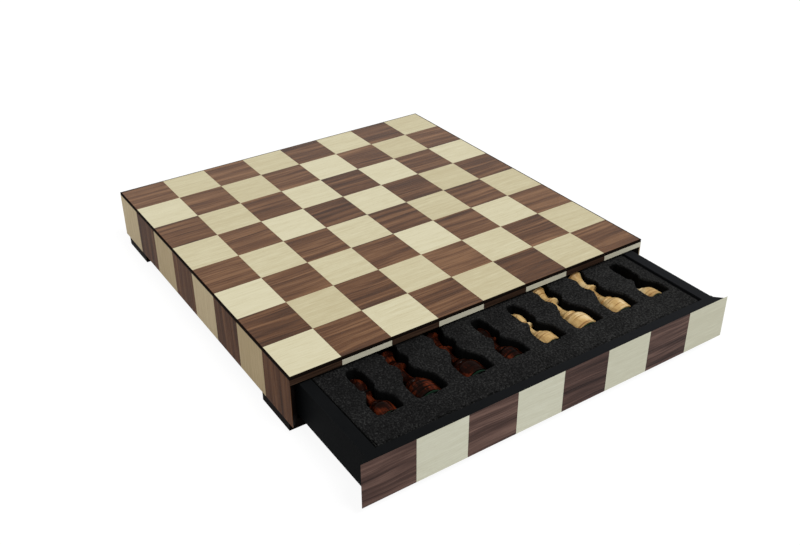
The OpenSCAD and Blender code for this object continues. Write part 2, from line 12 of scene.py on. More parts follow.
import bmesh
import bpy
from mathutils import Matrix, Vector, noise
from mathutils.geometry import delaunay_2d_cdt


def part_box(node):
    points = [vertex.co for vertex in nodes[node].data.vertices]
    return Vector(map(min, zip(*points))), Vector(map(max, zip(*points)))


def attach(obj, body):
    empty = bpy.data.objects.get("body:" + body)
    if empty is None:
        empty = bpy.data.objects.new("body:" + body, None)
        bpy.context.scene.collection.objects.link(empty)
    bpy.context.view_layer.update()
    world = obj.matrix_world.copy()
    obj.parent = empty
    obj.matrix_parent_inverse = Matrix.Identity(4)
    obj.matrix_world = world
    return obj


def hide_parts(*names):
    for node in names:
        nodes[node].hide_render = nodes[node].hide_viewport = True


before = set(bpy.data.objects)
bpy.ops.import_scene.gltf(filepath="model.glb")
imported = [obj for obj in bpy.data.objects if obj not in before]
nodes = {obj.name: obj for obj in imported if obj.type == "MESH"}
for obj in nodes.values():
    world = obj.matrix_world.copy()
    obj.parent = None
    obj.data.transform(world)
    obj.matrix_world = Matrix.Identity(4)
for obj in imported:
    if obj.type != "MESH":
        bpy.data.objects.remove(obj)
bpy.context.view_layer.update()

# %% [markdown]
# ## Sizes
# The squares of the board are the module of the whole box, so the stripes and the leaves
# of veneer are found from them. Nothing is typed in that the frame can tell.

# %% Measure the board
MM = 0.001
SQUARES = 8
board_low, board_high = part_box("board_panel")
board_w = board_high.x - board_low.x
square = board_w / SQUARES
middle_y = (board_low.y + board_high.y) / 2
print(f"board {board_w / MM:.1f} mm, squares {square / MM:.2f} mm, middle y {middle_y / MM:.1f} mm")

# %% [markdown]
# ## Camera
# The box is seen from above its front left corner. The camera was placed from the corners
# of the squares, so it is given as a point and three turns: round the upright, down
# towards the board, and a slight roll. The board lies a little to one side of the
# lens's middle, and the small shift allows for that.

# %% Place the camera
camera = bpy.data.objects.new("camera", bpy.data.cameras.new("camera"))
bpy.context.collection.objects.link(camera)
camera.data.sensor_width = 36
camera.data.lens = 42.989
camera.data.shift_x = 0.0201
camera.data.shift_y = -0.0376
camera.matrix_world = (
    Matrix.Translation((-0.44092, -0.67087, 0.51786))
    @ Matrix.Rotation(math.radians(-32.498), 4, "Z")
    @ Matrix.Rotation(math.radians(90 - 30.143), 4, "X")
    @ Matrix.Rotation(math.radians(-0.911), 4, "Z")
)
bpy.context.scene.camera = camera
print("camera at", [round(v, 3) for v in camera.matrix_world.translation])

# %% [markdown]
# ## Wires
# A finish is a tree of small nodes, and so is a rule that lays out pieces. Wiring them one
# by one hides the arithmetic, so a wire here can be added, multiplied or subtracted like a
# number, and one method makes any other node: first its settings, then its sockets.

# %% A bench for wiring nodes
class Wire:
    """What one node hands to the next. Values can be used like numbers."""

    def __init__(self, bench, socket):
        self.bench = bench
        self.socket = socket

    def __add__(self, other):
        return self.bench.math("ADD", self, other)

    def __radd__(self, other):
        return self.bench.math("ADD", other, self)

    def __sub__(self, other):
        return self.bench.math("SUBTRACT", self, other)

    def __rsub__(self, other):
        return self.bench.math("SUBTRACT", other, self)

    def __mul__(self, other):
        return self.bench.math("MULTIPLY", self, other)

    def __rmul__(self, other):
        return self.bench.math("MULTIPLY", other, self)

    def __truediv__(self, other):
        return self.bench.math("DIVIDE", self, other)

    def __rtruediv__(self, other):
        return self.bench.math("DIVIDE", other, self)


class Bench:
    """A tree of nodes that is being wired up."""

    def __init__(self, tree):
        self.tree = tree
        tree.nodes.clear()

    def node(self, kind, settings=None, sockets=None, output=0):
        made = self.tree.nodes.new(kind)
        for name, value in (settings or {}).items():
            if name == "stops":
                set_stops(made.color_ramp, value)
            else:
                setattr(made, name, value)
        for key, value in (sockets or {}).items():
            if isinstance(value, Wire):
                self.tree.links.new(value.socket, made.inputs[key])
            else:
                made.inputs[key].default_value = value
        if isinstance(output, tuple):
            return [Wire(self, made.outputs[key]) for key in output]
        return Wire(self, made.outputs[output])

    def math(self, operation, *values):
        return self.node("ShaderNodeMath", {"operation": operation}, dict(enumerate(values)))

    def join(self, x, y, z):
        return self.node("ShaderNodeCombineXYZ", {}, {0: x, 1: y, 2: z})


def set_stops(ramp, stops):
    """Fills a ramp with (place, colour) stops."""
    while len(ramp.elements) > 1:
        ramp.elements.remove(ramp.elements[-1])
    for i, (place, colour) in enumerate(stops):
        stop = ramp.elements[0] if i == 0 else ramp.elements.new(place)
        stop.position = place
        stop.color = colour


print("a wire knows", [name for name in vars(Wire) if name.startswith("__r")])

# %% [markdown]
# ## Words for finishes
# All patterns are worked out in millimetres on the piece's own coordinates, so a streak
# has its real width and stays on the wood when the drawer moves.

# %% Helpers that every finish uses
def dye(red, green, blue):
    """A colour as a paint chart gives it, 0 to 255, made ready for light sums."""
    shares = [c / 255 for c in (red, green, blue)]
    return tuple(s / 12.92 if s < 0.04045 else ((s + 0.055) / 1.055) ** 2.4 for s in shares) + (1,)


class Finish(Bench):
    """The nodes of one material."""

    def __init__(self, name):
        self.material = bpy.data.materials.new(name)
        self.material.use_nodes = True
        super().__init__(self.material.node_tree)

    def millimetres(self):
        """Where a point of the piece is: across, deep and up, in millimetres."""
        place = self.node("ShaderNodeTexCoord", output="Object")
        scaled = self.node("ShaderNodeVectorMath", {"operation": "SCALE"}, {0: place, "Scale": 1 / MM})
        return self.node("ShaderNodeSeparateXYZ", {}, {0: scaled}, (0, 1, 2))

    def cloud(self, x, y, z, detail=2.0, rough=0.5):
        """Soft noise from 0 to 1, about one swelling for each unit."""
        sockets = {"Vector": self.join(x, y, z), "Scale": 1.0, "Detail": detail, "Roughness": rough}
        return self.node("ShaderNodeTexNoise", {}, sockets)

    def fade(self, value, start, end):
        """0 before start, 1 after end, and a soft step between them."""
        sockets = {"Value": value, "From Min": start, "From Max": end}
        return self.node("ShaderNodeMapRange", {"interpolation_type": "SMOOTHSTEP"}, sockets)

    def ramp(self, value, *stops):
        return self.node("ShaderNodeValToRGB", {"stops": stops}, {0: value})

    def mix(self, share, first, second):
        """One colour going over into another."""
        sockets = {0: share, 6: first, 7: second}
        return self.node("ShaderNodeMix", {"data_type": "RGBA"}, sockets, 2)

    def coat(self, colour, roughness, relief, depth, painted=None, **fixed):
        """Closes the finish. Relief runs from 0 to 1 over a depth in millimetres.

        Painted is the share of matt black paint that covers the finish.
        """
        bumped = self.node("ShaderNodeBump", {}, {"Height": relief, "Distance": depth * MM})
        sockets = {"Base Color": colour, "Roughness": roughness, "Normal": bumped}
        sockets.update({name.replace("_", " "): value for name, value in fixed.items()})
        shader = self.node("ShaderNodeBsdfPrincipled", {}, sockets)
        if painted:
            matt = {"Roughness": 0.6, "Normal": bumped, "Specular IOR Level": 0.0}
            paint = self.node("ShaderNodeBsdfPrincipled", {}, {"Base Color": dye(26, 18, 14), **matt})
            shader = self.node("ShaderNodeMixShader", {}, {0: painted, 1: shader, 2: paint})
        self.node("ShaderNodeOutputMaterial", {}, {0: shader})
        return self.material

    def node(self, kind, settings=None, sockets=None, output=0):
        if kind == "ShaderNodeOutputMaterial":
            made = self.tree.nodes.new(kind)
            self.tree.links.new(sockets[0].socket, made.inputs[0])
            return None
        return super().node(kind, settings, sockets, output)


print("white chalk would be", [round(c, 2) for c in dye(235, 235, 230)])

# %% [markdown]
# ## Veneer
# Each square and each stripe is its own leaf of veneer, 0.6 mm thick. Walnut shows broad
# soft bands, finer streaks inside them and short dark pores; maple is nearly plain. One
# long board of noise is sampled at a new place for each leaf, so that the figure breaks at
# every joint as it does where leaves are cut and turned. The edge of the top leaves is
# painted black with the panel under them.

# %% Make the veneers
X, Y, Z = range(3)
HALF = board_w / 2 / MM
LEAF = square / MM
RIM = 1.2
# The tones differ from face to face only as painted light on the same two woods: the sides are tinted as in
# warm light, the front greyer and cooler as in cool light, and the rail darker, as painted shade.
WALNUT_TOP = (dye(58, 34, 18), dye(97, 64, 40), dye(134, 98, 68))
WALNUT_SIDE_WARM_LIT = (dye(60, 34, 17), dye(94, 59, 36), dye(124, 86, 58))
WALNUT_FRONT_COOL_LIT = (dye(44, 31, 29), dye(80, 60, 54), dye(116, 91, 82))
WALNUT_RAIL_SHADED = (dye(36, 25, 19), dye(54, 39, 30), dye(76, 58, 46))
MAPLE_TOP = (dye(194, 182, 145), dye(208, 199, 164), dye(219, 212, 180))
MAPLE_SIDE_WARM_LIT = (dye(196, 174, 134), dye(212, 191, 151), dye(224, 206, 168))
MAPLE_FRONT_COOL_LIT = (dye(198, 196, 174), dye(207, 206, 185), dye(216, 216, 197))
MAPLE_RAIL_SHADED = (dye(196, 192, 172), dye(206, 202, 180), dye(212, 208, 188))


def leaf_place(finish, place, cut_axes):
    """Three chances that are the same all over one leaf of veneer."""
    counts = [0.5, 0.5, 0.5]
    starts = {X: -HALF, Y: middle_y / MM - HALF, Z: 0}
    for axis in cut_axes:
        counts[axis] = finish.math("FLOOR", (place[axis] - starts[axis]) / LEAF)
    cell = finish.join(*counts)
    chance = finish.node("ShaderNodeTexWhiteNoise", {}, {"Vector": cell}, "Color")
    return finish.node("ShaderNodeSeparateColor", {}, {0: chance}, (0, 1, 2))


def figure(finish, along, across, leaf, stretch, width, detail=2.0, rough=0.5):
    """Streaks that run along the grain, so long and so wide in millimetres."""
    return finish.cloud(along / stretch, across / width, leaf * 40, detail, rough)


def veneer(name, wood, tones, grain, width, cut_axes, polish, painted_edge=False):
    finish = Finish(name)
    place = finish.millimetres()
    chance, slide, lift = leaf_place(finish, place, cut_axes)
    along = place[grain] + slide * 900
    sway = figure(finish, along, place[width], lift, 60, 40, 1.0) * 6 - 3
    across = place[width] + lift * 700 + sway
    band = figure(finish, along, across, chance, 150, 7)
    streak = figure(finish, along, across, slide, 60, 2.2, 3.0)
    hair = figure(finish, along, across, lift, 14, 0.4, 2.0)
    pore = finish.fade(figure(finish, along, across, chance, 3.5, 0.22, 1.0), 0.62, 0.72)
    if wood == "walnut":
        line = finish.fade(figure(finish, along, across, lift, 120, 1.7, 1.0), 0.56, 0.72)
        tone = 0.53 + (band - 0.5) * 1.7 + (streak - 0.5) * 1.2 + (hair - 0.5) * 0.6 + (chance - 0.5) * 0.35
        tone = tone - pore * 0.16 - line * 0.34
        relief = hair * 0.5 + streak * 0.3 - pore * 0.9
    else:
        fleck = finish.fade(figure(finish, along, across, chance, 2.2, 0.5, 2.0), 0.6, 0.75)
        tone = 0.54 + (band - 0.5) * 0.6 + (streak - 0.5) * 0.8 + (hair - 0.5) * 1.7
        tone = tone + (chance - 0.5) * 0.9 - fleck * 0.5
        relief = hair * 0.6 + streak * 0.3
    colour = finish.ramp(tone, (0.0, tones[0]), (0.5, tones[1]), (1.0, tones[2]))
    rim = None
    if painted_edge:
        sideways = finish.math("ABSOLUTE", place[X])
        deep = finish.math("ABSOLUTE", place[Y] - middle_y / MM)
        rim = finish.fade(finish.math("MAXIMUM", sideways, deep), HALF - RIM - 0.1, HALF - RIM + 0.1)
    gloss = 0.34 + (streak - 0.5) * 0.1 + pore * 0.2
    return finish.coat(colour, gloss, relief, 0.03, rim, Specular_IOR_Level=polish)


VENEERS = {
    "board": (WALNUT_TOP, MAPLE_TOP, X, Y, (X, Y), 0.14),
    "rail": (WALNUT_RAIL_SHADED, MAPLE_RAIL_SHADED, X, Z, (X,), 0.03),
    "left": (WALNUT_SIDE_WARM_LIT, MAPLE_SIDE_WARM_LIT, Z, Y, (Y,), 0.012),
    "right": (WALNUT_SIDE_WARM_LIT, MAPLE_SIDE_WARM_LIT, Z, Y, (Y,), 0.012),
    "back": (WALNUT_SIDE_WARM_LIT, MAPLE_SIDE_WARM_LIT, Z, X, (X,), 0.012),
    "front": (WALNUT_FRONT_COOL_LIT, MAPLE_FRONT_COOL_LIT, X, Z, (X,), 0.04),
}


def dress(node, material):
    """Gives a solid part of the frame its finish."""
    mesh = nodes[node].data
    mesh.materials.clear()
    mesh.materials.append(material)


for face, (walnut, maple, grain, width, cuts, polish) in VENEERS.items():
    for wood, tones in (("walnut", walnut), ("maple", maple)):
        finish = veneer(f"{face}_{wood}", wood, tones, grain, width, cuts, polish, face == "board")
        names = [n for n in nodes if n.startswith(face + "_" + wood)]
        for node in names:
            dress(node, finish)
        print(f"{face} {wood}: {names}")

# %% [markdown]
# ## Black lacquer
# The panels, the rail's lower edge, the drawer and the feet are lacquered black. Sprayed
# lacquer fills the pores but leaves a faint orange peel, and it thins where hands rub the
# corners. A rounded-normal node finds the corners: where it differs from the true normal,
# the black is a little greyer. The panels also get a small real round on their edges,
# because a sharp corner catches no light. The drawer's black is painted a little lighter
# towards the right, as a painted sheen, so it runs from one black to another across the drawer.

# %% Make the lacquer and round the black parts
def lacquer(name, black, worn, roughness, polish, painted_sheen=None):
    finish = Finish(name)
    x, y, z = finish.millimetres()
    peel = finish.cloud(x / 1.1, y / 1.1, z / 1.1, 3.0, 0.6)
    dust = finish.cloud(x / 24, y / 24, z / 24, 3.0, 0.6)
    rounded = finish.node("ShaderNodeBevel", {"samples": 4}, {"Radius": 0.6 * MM})
    true = finish.node("ShaderNodeNewGeometry", output="Normal")
    likeness = finish.node("ShaderNodeVectorMath", {"operation": "DOT_PRODUCT"}, {0: rounded, 1: true}, "Value")
    corner = finish.fade(1 - likeness, 0.02, 0.25)
    rubbed = corner * finish.fade(dust + (peel - 0.5) * 0.5, 0.42, 0.68)
    # Painted sheen: the black is made lighter towards the drawer's right end.
    if painted_sheen:
        left, right = (end[X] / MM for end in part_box("drawer_front"))
        black = finish.mix(finish.fade(x, left, right), black, painted_sheen)
    colour = finish.mix(rubbed * 0.5 + (dust - 0.4) * 0.2, black, worn)
    gloss = roughness + (dust - 0.5) * 0.16 + (peel - 0.5) * 0.08
    return finish.coat(colour, gloss, peel, 0.02, Specular_IOR_Level=polish)


black_panel = lacquer("black_panel", dye(20, 15, 13), dye(34, 29, 26), 0.42, 0.004)
# The drawer's last colour is the painted sheen towards its right.
black_drawer = lacquer("black_drawer", dye(19, 20, 21), dye(44, 44, 44), 0.5, 0.004, dye(32, 33, 35))
PANELS = ("board_panel", "sub_top", "front_rail", "left_side_panel", "right_side_panel", "back_panel",
          "bottom_panel", "front_left_foot", "front_right_foot", "back_left_foot", "back_right_foot")
DRAWER = ("drawer_front", "drawer_left_side", "drawer_right_side", "drawer_back", "drawer_bottom")


def ease_edges(node, round_mm):
    """Joins the part's triangles and rounds its arrises."""
    weld = nodes[node].modifiers.new("joined", "WELD")
    weld.merge_threshold = 0.002 * MM
    ease = nodes[node].modifiers.new("eased", "BEVEL")
    ease.width = round_mm * MM
    ease.segments = 2
    ease.limit_method = "ANGLE"
    ease.angle_limit = math.radians(40)


for part in PANELS + DRAWER:
    dress(part, black_drawer if part in DRAWER else black_panel)
    ease_edges(part, 0.35)
print(len(PANELS) + len(DRAWER), "parts lacquered")

# %% [markdown]
# ## Small parts
# Beech dowels, steel screws and the green felt under each man are plain finishes, but each
# has what its material shows close up: end grain, turning marks, and short tangled fibres.

# %% Finish the dowels, the screws and the felt
def dowel_wood():
    finish = Finish("beech")
    x, y, z = finish.millimetres()
    ray = finish.cloud(x / 0.5, y / 0.5, z / 6, 3.0, 0.6)
    colour = finish.ramp(ray, (0.3, dye(150, 112, 78)), (0.7, dye(198, 164, 122)))
    return finish.coat(colour, 0.62 + ray * 0.1, ray, 0.05)


def screw_steel():
    finish = Finish("steel")
    x, y, z = finish.millimetres()
    scratch = finish.cloud(x / 0.15, y / 0.15, z / 0.6, 2.0, 0.6)
    colour = finish.ramp(scratch, (0.3, dye(150, 152, 156)), (0.7, dye(196, 198, 200)))
    return finish.coat(colour, 0.3 + scratch * 0.2, scratch, 0.01, Metallic=1.0)


def green_felt():
    finish = Finish("felt")
    x, y, z = finish.millimetres()
    tangle = finish.cloud(x / 0.35, y / 0.5, z / 0.35, 4.0, 0.7)
    patch = finish.cloud(x / 3, y / 3, z / 3, 2.0, 0.5)
    colour = finish.ramp(tangle * 0.7 + patch * 0.3, (0.3, dye(6, 24, 15)), (0.7, dye(19, 50, 33)))
    return finish.coat(colour, 0.92 + tangle * 0.06, tangle, 0.15, Specular_IOR_Level=0.15)


beech, steel, felt = dowel_wood(), screw_steel(), green_felt()
for node in nodes:
    if "dowel" in node:
        dress(node, beech)
    if "screw" in node:
        dress(node, steel)
print("finished", [n for n in nodes if "dowel" in n or "screw" in n or "felt" in n])

# %% [markdown]
# ## Turned men
# Every man except the knight's head is turned on a lathe, so its outline is one line spun
# round an axis. The outlines are given as shares of the height and of the base's radius,
# and a bow for each line: a plus sign swells, a minus sign is hollow. They are the same
# shares as the solids have, with more steps on each curve.

# %% Outlines of the men
FOOT = [(0, 1, 0), (0.03, 1, 0.1), (0.04, 0.97, 0), (0.046, 0.985, 0.03)]
TURNINGS = {
    "king": FOOT + [
        (0.16, 1, 0.16), (0.26, 0.78, 0), (0.266, 0.64, 0), (0.284, 0.62, 0),
        (0.292, 0.66, 0.4), (0.33, 0.6, 0), (0.34, 0.52, -0.12), (0.46, 0.32, -0.03),
        (0.58, 0.34, 0), (0.588, 0.44, 0), (0.597, 0.6, 0.45), (0.632, 0.56, 0),
        (0.642, 0.42, 0), (0.652, 0.47, 0.4), (0.672, 0.42, 0), (0.683, 0.35, -0.1),
        (0.725, 0.33, -0.1), (0.86, 0.62, 0.2), (0.876, 0.57, 0), (0.884, 0.5, 0.2),
        (0.905, 0.16, 0), (0.905, 0, 0)],
    "queen": FOOT + [
        (0.165, 1, 0.16), (0.262, 0.78, 0), (0.268, 0.64, 0), (0.286, 0.62, 0),
        (0.294, 0.66, 0.4), (0.335, 0.6, 0), (0.345, 0.52, -0.12), (0.47, 0.31, -0.03),
        (0.585, 0.33, 0), (0.593, 0.43, 0), (0.602, 0.59, 0.45), (0.637, 0.54, 0),
        (0.647, 0.42, 0), (0.657, 0.46, 0.4), (0.678, 0.4, 0), (0.69, 0.34, -0.08),
        (0.74, 0.32, -0.14), (0.93, 0.66, 0), (0.945, 0.64, 0), (0.93, 0.46, 0.15),
        (0.955, 0.12, 0.5), (0.985, 0.13, 0.4), (1, 0, 0)],
    "bishop": FOOT + [
        (0.17, 1, 0.14), (0.272, 0.8, 0), (0.279, 0.62, 0), (0.3, 0.6, 0), (0.308, 0.63, 0.4),
        (0.342, 0.56, 0), (0.352, 0.48, -0.14), (0.46, 0.3, -0.03), (0.54, 0.31, 0),
        (0.557, 0.42, 0), (0.568, 0.58, 0.45), (0.61, 0.54, 0), (0.625, 0.4, -0.1),
        (0.655, 0.38, 0), (0.67, 0.44, 0.12), (0.8, 0.58, 0.1), (0.91, 0.42, 0.16),
        (0.955, 0.19, 0), (0.962, 0.16, 0.5), (0.985, 0.15, 0.4), (1, 0, 0)],
    "pawn": FOOT + [
        (0.17, 1, 0.16), (0.3, 0.76, 0), (0.308, 0.62, 0), (0.33, 0.6, 0), (0.34, 0.64, 0.4),
        (0.385, 0.56, 0), (0.4, 0.48, -0.14), (0.6, 0.33, 0), (0.622, 0.54, 0.4),
        (0.665, 0.5, 0), (0.68, 0.36, 0), (0.7, 0.36, 0.3), (0.84, 0.6, 0.4), (1, 0, 0)],
    "rook": FOOT + [
        (0.17, 1, 0.16), (0.3, 0.8, 0), (0.308, 0.68, 0), (0.33, 0.66, 0), (0.34, 0.7, 0.4),
        (0.385, 0.64, 0), (0.4, 0.56, -0.1), (0.7, 0.45, -0.1), (0.735, 0.6, 0),
        (0.75, 0.64, 0.4), (0.785, 0.6, 0), (0.8, 0.58, -0.12), (0.87, 0.7, 0), (1, 0.72, 0),
        (1, 0.5, 0), (0.9, 0.48, 0), (0.9, 0, 0)],
    "knight": FOOT + [
        (0.15, 1, 0.16), (0.25, 0.8, 0), (0.256, 0.66, 0), (0.272, 0.64, 0), (0.28, 0.68, 0.4),
        (0.31, 0.62, 0), (0.34, 0.6, 0), (0.34, 0, 0)],
}
HORSE = [
    (0.56, 0.32, -0.12), (0.38, 0.52, 0.1), (0.5, 0.6, -0.08), (0.84, 0.565, 0.3),
    (0.98, 0.66, 0.1), (0.86, 0.745, -0.05), (0.5, 0.86, 0.05), (0.3, 0.92, 0),
    (0.26, 1, -0.1), (0.06, 0.93, 0.12), (-0.46, 0.78, 0.14), (-0.66, 0.54, -0.06),
    (-0.56, 0.32, 0)]
ARC_STEPS = 9


def bowed(points):
    """The points of an outline with its bowed lines filled in."""
    line = []
    for (a, b, bow), (c, d, _) in zip(points, points[1:]):
        start, end = Vector((a, b)), Vector((c, d))
        span = end - start
        mid = (start + end) / 2 + bow * Vector((span.y, -span.x))
        steps = ARC_STEPS if bow else 1
        for i in range(steps):
            t = i / steps
            line.append((1 - t) ** 2 * start + 2 * t * (1 - t) * mid + t ** 2 * end)
    line.append(Vector(points[-1][:2]))
    return line


for kind, points in TURNINGS.items():
    print(kind, len(bowed(points)), "points on its outline")

# %% [markdown]
# ## Lathe, saw and knife
# A man is built lying down, its axis along +Y with the base at zero, which is how it lies
# in its pocket. The lathe spins the outline. The saw and the knife are boolean cuts: the
# slots of the rook, the scallops of the queen's coronet and the slanting cut in the
# bishop's mitre.

# %% Tools that shape one man
TURNS = 56


def new_object(name, mesh):
    made = bpy.data.objects.new(name, mesh)
    bpy.context.collection.objects.link(made)
    return made


def finished_mesh(obj):
    """The object's mesh with its modifiers done, and the object put away."""
    graph = bpy.context.evaluated_depsgraph_get()
    mesh = bpy.data.meshes.new_from_object(obj.evaluated_get(graph))
    bpy.data.objects.remove(obj)
    return mesh


def shell(build, name):
    """Turns a bmesh into an object with its faces pointing outwards."""
    bmesh.ops.recalc_face_normals(build, faces=build.faces)
    mesh = bpy.data.meshes.new(name)
    build.to_mesh(mesh)
    build.free()
    return new_object(name, mesh)


def turned(kind, radius, height):
    """Spins an outline round the Y axis into a closed shell."""
    line = bowed([(r * radius, h * height, bow) for h, r, bow in TURNINGS[kind]])
    build = bmesh.new()
    rings = [[build.verts.new((0, line[0].y, 0))]]
    for p in line:
        if p.x < 1e-7:
            rings.append([build.verts.new((0, p.y, 0))])
            continue
        ring = []
        for i in range(TURNS):
            angle = math.tau * i / TURNS
            ring.append(build.verts.new((p.x * math.cos(angle), p.y, p.x * math.sin(angle))))
        rings.append(ring)
    for low, high in zip(rings, rings[1:]):
        for i in range(TURNS):
            j = (i + 1) % TURNS
            corners = [low[i % len(low)], low[j % len(low)], high[j % len(high)], high[i % len(high)]]
            corners = list(dict.fromkeys(corners))
            if len(corners) > 2:
                build.faces.new(corners)
    return shell(build, kind)


def prism(name, outline, low, high, place=None):
    """An outline in X and Y with a thickness in Z, put in its place."""
    build = bmesh.new()
    floor = [build.verts.new((x, y, low)) for x, y in outline]
    lid = [build.verts.new((x, y, high)) for x, y in outline]
    build.faces.new(floor)
    build.faces.new(lid)
    for i in range(len(outline)):
        j = (i + 1) % len(outline)
        build.faces.new((floor[i], floor[j], lid[j], lid[i]))
    made = shell(build, name)
    made.data.transform(place or Matrix.Identity(4))
    return made


def worked(body, tool, operation):
    """Cuts a tool out of a body, or joins the two."""
    step = body.modifiers.new("work", "BOOLEAN")
    step.object = tool
    step.operation = operation
    step.solver = "EXACT"
    mesh = finished_mesh(body)
    bpy.data.objects.remove(tool)
    return new_object("man", mesh)


def bar(width, depth, thick, place):
    """A straight cutter with its middle at the origin before it is placed."""
    w, d = width / 2, depth / 2
    return prism("cutter", [(-w, -d), (w, -d), (w, d), (-w, d)], -thick / 2, thick / 2, place)


def rod(radius, start, end, turn, y):
    """A round cutter that lies across the axis at height y."""
    outline = [(math.cos(a) * radius, math.sin(a) * radius) for a in [math.tau * i / 20 for i in range(20)]]
    place = Matrix.Rotation(turn, 4, "Y") @ Matrix.Translation((0, y, 0))
    return prism("cutter", outline, start, end, place)


print("a lathe with", TURNS, "steps")

# %% [markdown]
# ## The knight's head
# The head is sawn from a board to the horse's outline and then carved: the muzzle is
# thinned, the arrises are rounded, the mane is scored in locks, and eyes, nostrils and a
# mouth are cut. A voxel remesh turns the sawn blank into even small faces, and each mark
# of the knife is then a small push on the points it would touch.

# %% Carve the horse's head
VOXEL = 0.42 * MM
NECK_T, MUZZLE_T = 0.95, 0.62


def soft_step(value, start, end):
    t = min(max((value - start) / (end - start), 0), 1)
    return t * t * (3 - 2 * t)


ALL_WAYS = {"use_axis_x": True, "use_axis_y": True, "use_axis_z": True}


def horse_head(radius, height):
    outline = bowed([(x * radius, h * height, bow) for x, h, bow in HORSE + [HORSE[0][:2] + (0,)]])[:-1]
    blank = prism("head", [(p.x, p.y) for p in outline], -NECK_T / 2 * radius, NECK_T / 2 * radius)
    remesh = blank.modifiers.new("voxels", "REMESH")
    remesh.mode = "VOXEL"
    remesh.voxel_size = VOXEL
    mesh = finished_mesh(blank)
    build = bmesh.new()
    build.from_mesh(mesh)
    for v in build.verts:
        x, y = v.co.x / radius, v.co.y / height
        slim = soft_step(x, 0.2, 0.75) * soft_step(y, 0.4, 0.55)
        crest = soft_step(y, 0.72, 0.98) * 0.45 + soft_step(-x, 0.15, 0.6) * 0.35
        v.co.z *= 1 - slim * (1 - MUZZLE_T / NECK_T) - crest
    for _ in range(5):
        bmesh.ops.smooth_vert(build, verts=build.verts, factor=0.5, **ALL_WAYS)
    for v in build.verts:
        x, y = v.co.x / radius, v.co.y / height
        side = 1 if v.co.z > 0 else -1
        push = 0.0
        back = soft_step(-x, -0.12, 0.1) * soft_step(y, 0.36, 0.46)
        push += back * 0.35 * math.sin(y * 95 + x * 9)
        eye = math.hypot((x - 0.36) * radius, (y - 0.79) * height) / MM
        push += 0.6 * math.exp(-(eye / 1.0) ** 2) - 0.45 * math.exp(-((eye - 1.7) / 0.5) ** 2)
        nostril = math.hypot((x - 0.82) * radius, (y - 0.69) * height) / MM
        push -= 0.6 * math.exp(-(nostril / 0.6) ** 2)
        mouth = abs((y - 0.6 - (x - 0.62) * 0.16) * height) / MM
        push -= 0.5 * math.exp(-(mouth / 0.4) ** 2) * soft_step(x, 0.56, 0.7)
        cheek = math.hypot((x - 0.3) * radius, (y - 0.66) * height) / MM
        push += 0.5 * math.exp(-(cheek / 3.2) ** 2)
        v.co.z += side * push * MM
    bmesh.ops.smooth_vert(build, verts=build.verts, factor=0.4, **ALL_WAYS)
    return shell(build, "head")


print("knife marks on the head: mane, eyes, nostrils, mouth and cheeks")

# %% [markdown]
# ## One pattern for each kind of man
# Each kind is made once, at the size that its solid has, and then laid in all its pockets.

# %% Make the patterns
NOTCHES = 9
SLOTS = 3


def king(radius, height):
    man = turned("king", radius, height)
    h = 0.1 * height
    half = [(0.14, 0), (0.1, 0.42), (0.4, 0.36), (0.4, 0.76), (0.1, 0.7), (0.2, 1)]
    outline = [(x * h, y * h) for x, y in half] + [(-x * h, y * h) for x, y in reversed(half)]
    cross = prism("cross", outline, -0.15 * h, 0.15 * h, Matrix.Translation((0, 0.9 * height, 0)))
    return worked(man, cross, "UNION")


def queen(radius, height):
    man = turned("queen", radius, height)
    for i in range(NOTCHES):
        cutter = rod(0.14 * radius, 0.4 * radius, 0.9 * radius, i * math.tau / NOTCHES, 0.955 * height)
        man = worked(man, cutter, "DIFFERENCE")
    return man


def bishop(radius, height):
    man = turned("bishop", radius, height)
    place = Matrix.Translation((0.32 * radius, 0.84 * height, 0)) @ Matrix.Rotation(math.radians(50), 4, "Z")
    return worked(man, bar(0.6 * radius, 0.09 * radius, 2 * radius, place), "DIFFERENCE")


def rook(radius, height):
    man = turned("rook", radius, height)
    for i in range(SLOTS):
        place = Matrix.Rotation(i * math.pi / SLOTS, 4, "Y") @ Matrix.Translation((0, 0.995 * height, 0))
        man = worked(man, bar(4 * radius, 0.14 * height, 0.26 * radius, place), "DIFFERENCE")
    return man


def knight(radius, height):
    return worked(turned("knight", radius, height), horse_head(radius, height), "UNION")


def pawn(radius, height):
    return turned("pawn", radius, height)


MAKERS = {"king": king, "queen": queen, "bishop": bishop, "rook": rook, "knight": knight, "pawn": pawn}
print("patterns to make:", ", ".join(MAKERS))

# %% [markdown]
# ## Where the men lie
# A solid part may hold several men. Its triangles are joined and parted into islands, and
# the box of each island gives the base, the axis and the size of one man.

# %% Find the men in the frame
def box_round(points):
    """The lowest and the highest corner of the box round some points."""
    return tuple([pick(p[i] for p in points) for i in range(3)] for pick in (min, max))


def islands(node):
    """The boxes of the separate solids in one part."""
    build = bmesh.new()
    build.from_mesh(nodes[node].data)
    bmesh.ops.remove_doubles(build, verts=build.verts, dist=0.001 * MM)
    left, boxes = set(build.verts), []
    while left:
        found, edge = [], [left.pop()]
        while edge:
            v = edge.pop()
            found.append(v.co.copy())
            for e in v.link_edges:
                other = e.other_vert(v)
                if other in left:
                    left.remove(other)
                    edge.append(other)
        boxes.append(box_round(found))
    build.free()
    return sorted(boxes)


SHORTEST = 20 * MM
MEN = {}
for shade in ("dark", "light"):
    for kind in MAKERS:
        node = f"{shade}_{kind}" if f"{shade}_{kind}" in nodes else f"{shade}_{kind}s"
        boxes = islands(node)
        big = [b for b in boxes if b[1][Y] - b[0][Y] > SHORTEST]
        MEN[node] = (kind, big)
        low, high = big[0]
        base, wood = ((high[axis] - low[axis]) / MM for axis in (Z, Y))
        print(f"{node}: {len(big)}, base {base:.1f} mm, wood {wood:.1f} mm")

